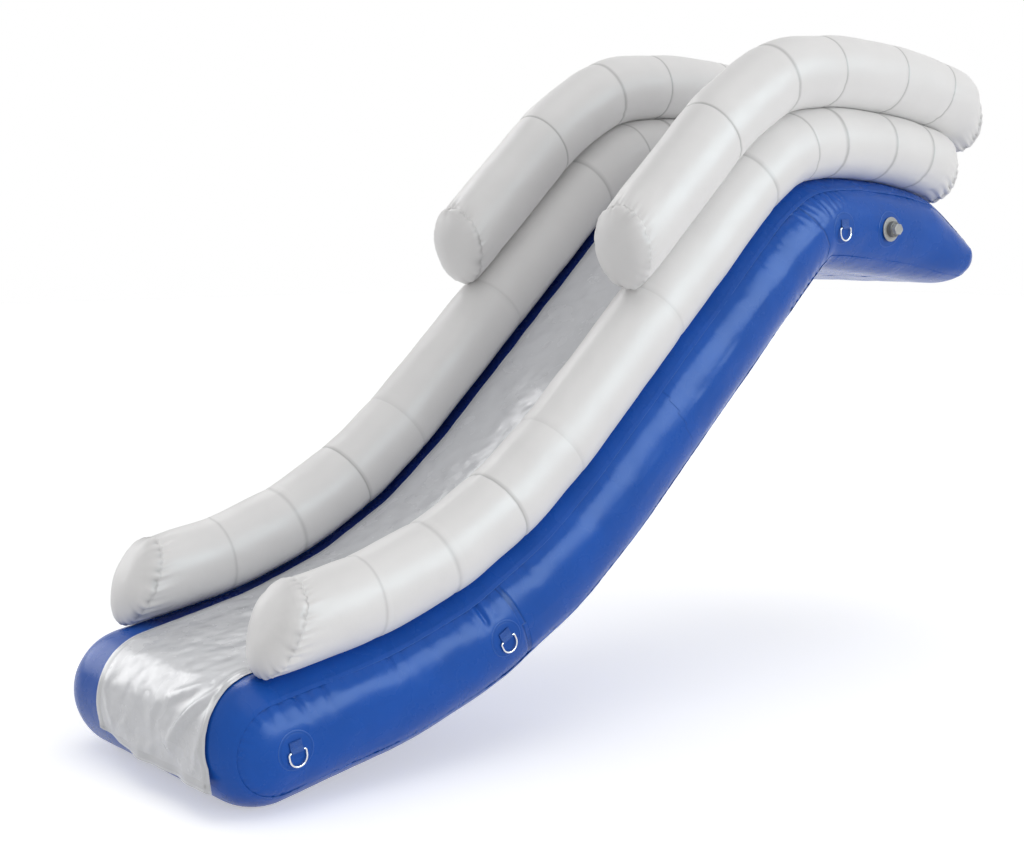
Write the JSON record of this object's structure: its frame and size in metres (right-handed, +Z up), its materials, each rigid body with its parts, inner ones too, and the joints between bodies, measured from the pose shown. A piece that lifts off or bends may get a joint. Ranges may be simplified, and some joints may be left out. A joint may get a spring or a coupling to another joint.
{
  "type": "inflatable yacht slide",
  "caption": "Inflatable slide for getting from a yacht deck down to the water: an air-filled base with side rails, a glossy slide sheet, lashing rings and a valve.",
  "frame": {"origin": "a point of the flat underside at the boat end, on the slide's centre plane, that rests on the deck", "axes": "+Z up, +Y from the water end to the boat end, X across; +X is the side with the valve"},
  "size_m": [1.1217, 3.4339, 2.304],
  "materials": {
    "blue_fabric": "glossy PVC-coated fabric",
    "white_fabric": "satin PVC-coated fabric",
    "sheet": "glossy slippery coated fabric",
    "steel": "polished stainless steel",
    "valve_plastic": "moulded, slightly rough",
    "rubber": "matte"
  },
  "bodies": {
    "slide": {"air_sleeve_lower_left": "valve_plastic", "air_sleeve_lower_right": "valve_plastic", "air_sleeve_upper_left": "valve_plastic", "air_sleeve_upper_right": "valve_plastic", "base_side_panel_left": "blue_fabric", "base_side_panel_right": "blue_fabric", "base_web_1": "blue_fabric", "base_web_2": "blue_fabric", "base_web_3": "blue_fabric", "base_web_4": "blue_fabric", "base_wrap_panel": "blue_fabric", "lower_rail_front_cap_left": "white_fabric", "lower_rail_front_cap_right": "white_fabric", "lower_rail_left": "white_fabric", "lower_rail_right": "white_fabric", "lower_rail_tail_cap_left": "white_fabric", "lower_rail_tail_cap_right": "white_fabric", "ring_patch_front_left": "blue_fabric", "ring_patch_front_right": "blue_fabric", "ring_patch_middle_left": "blue_fabric", "ring_patch_middle_right": "blue_fabric", "ring_patch_rear_left": "blue_fabric", "ring_patch_rear_right": "blue_fabric", "ring_strap_front_left": "blue_fabric", "ring_strap_front_right": "blue_fabric", "ring_strap_middle_left": "blue_fabric", "ring_strap_middle_right": "blue_fabric", "ring_strap_rear_left": "blue_fabric", "ring_strap_rear_right": "blue_fabric", "slide_sheet": "sheet", "upper_rail_front_cap_left": "white_fabric", "upper_rail_front_cap_right": "white_fabric", "upper_rail_left": "white_fabric", "upper_rail_right": "white_fabric", "upper_rail_tail_cap_left": "white_fabric", "upper_rail_tail_cap_right": "white_fabric", "valve_body": "valve_plastic", "valve_gasket": "rubber", "valve_nut": "valve_plastic", "valve_patch": "blue_fabric", "valve_spider": "valve_plastic", "valve_spring": "steel"},
    "ring_front_left": {"ring_front_left": "steel"},
    "ring_front_right": {"ring_front_right": "steel"},
    "ring_middle_left": {"ring_middle_left": "steel"},
    "ring_middle_right": {"ring_middle_right": "steel"},
    "ring_rear_left": {"ring_rear_left": "steel"},
    "ring_rear_right": {"ring_rear_right": "steel"},
    "cap_washer": {"cap_washer": "rubber"},
    "valve_cap": {"valve_cap": "valve_plastic"},
    "valve_poppet": {"valve_poppet": "valve_plastic"}
  },
  "joints": [
    {"name": "ring_front_left_swing", "type": "hinge", "parent": "slide", "child": "ring_front_left", "pos_m": [-0.53542, -2.78852, -1.24199], "axis": [0, 0.986, 0.1668], "range_deg": [-2, 175]},
    {"name": "ring_front_right_swing", "type": "hinge", "parent": "slide", "child": "ring_front_right", "pos_m": [0.53542, -2.78852, -1.24199], "axis": [0, -0.986, -0.1668], "range_deg": [-2, 175]},
    {"name": "ring_middle_left_swing", "type": "hinge", "parent": "slide", "child": "ring_middle_left", "pos_m": [-0.53542, -2.03342, -1.05193], "axis": [0, 0.8771, 0.4802], "range_deg": [-2, 175]},
    {"name": "ring_middle_right_swing", "type": "hinge", "parent": "slide", "child": "ring_middle_right", "pos_m": [0.53542, -2.03342, -1.05193], "axis": [0, -0.8771, -0.4802], "range_deg": [-2, 175]},
    {"name": "ring_rear_left_swing", "type": "hinge", "parent": "slide", "child": "ring_rear_left", "pos_m": [-0.53542, -0.45278, 0.18477], "axis": [0, 0.9988, 0.0488], "range_deg": [-2, 175]},
    {"name": "ring_rear_right_swing", "type": "hinge", "parent": "slide", "child": "ring_rear_right", "pos_m": [0.53542, -0.45278, 0.18477], "axis": [0, -0.9988, -0.0488], "range_deg": [-2, 175]},
    {"name": "cap_lift", "type": "slide", "parent": "slide", "child": "cap_washer", "axis": [1, 0, 0], "range_m": [0, 0.00905]},
    {"name": "cap_turn", "type": "hinge", "parent": "cap_washer", "child": "valve_cap", "pos_m": [0.54897, -0.18795, 0.18031], "axis": [1, 0, 0], "range_deg": [0, 540]},
    {"name": "poppet_push", "type": "slide", "parent": "slide", "child": "valve_poppet", "axis": [-1, 0, 0], "range_m": [0, 0.006], "stiffness_N_per_m": 400, "springref_m": -0.01, "deforming": ["valve_spring"]}
  ],
  "couplings": [
    {"joint": "cap_lift", "follows": "cap_turn", "m_per_rad": 0.00095493}
  ]
}
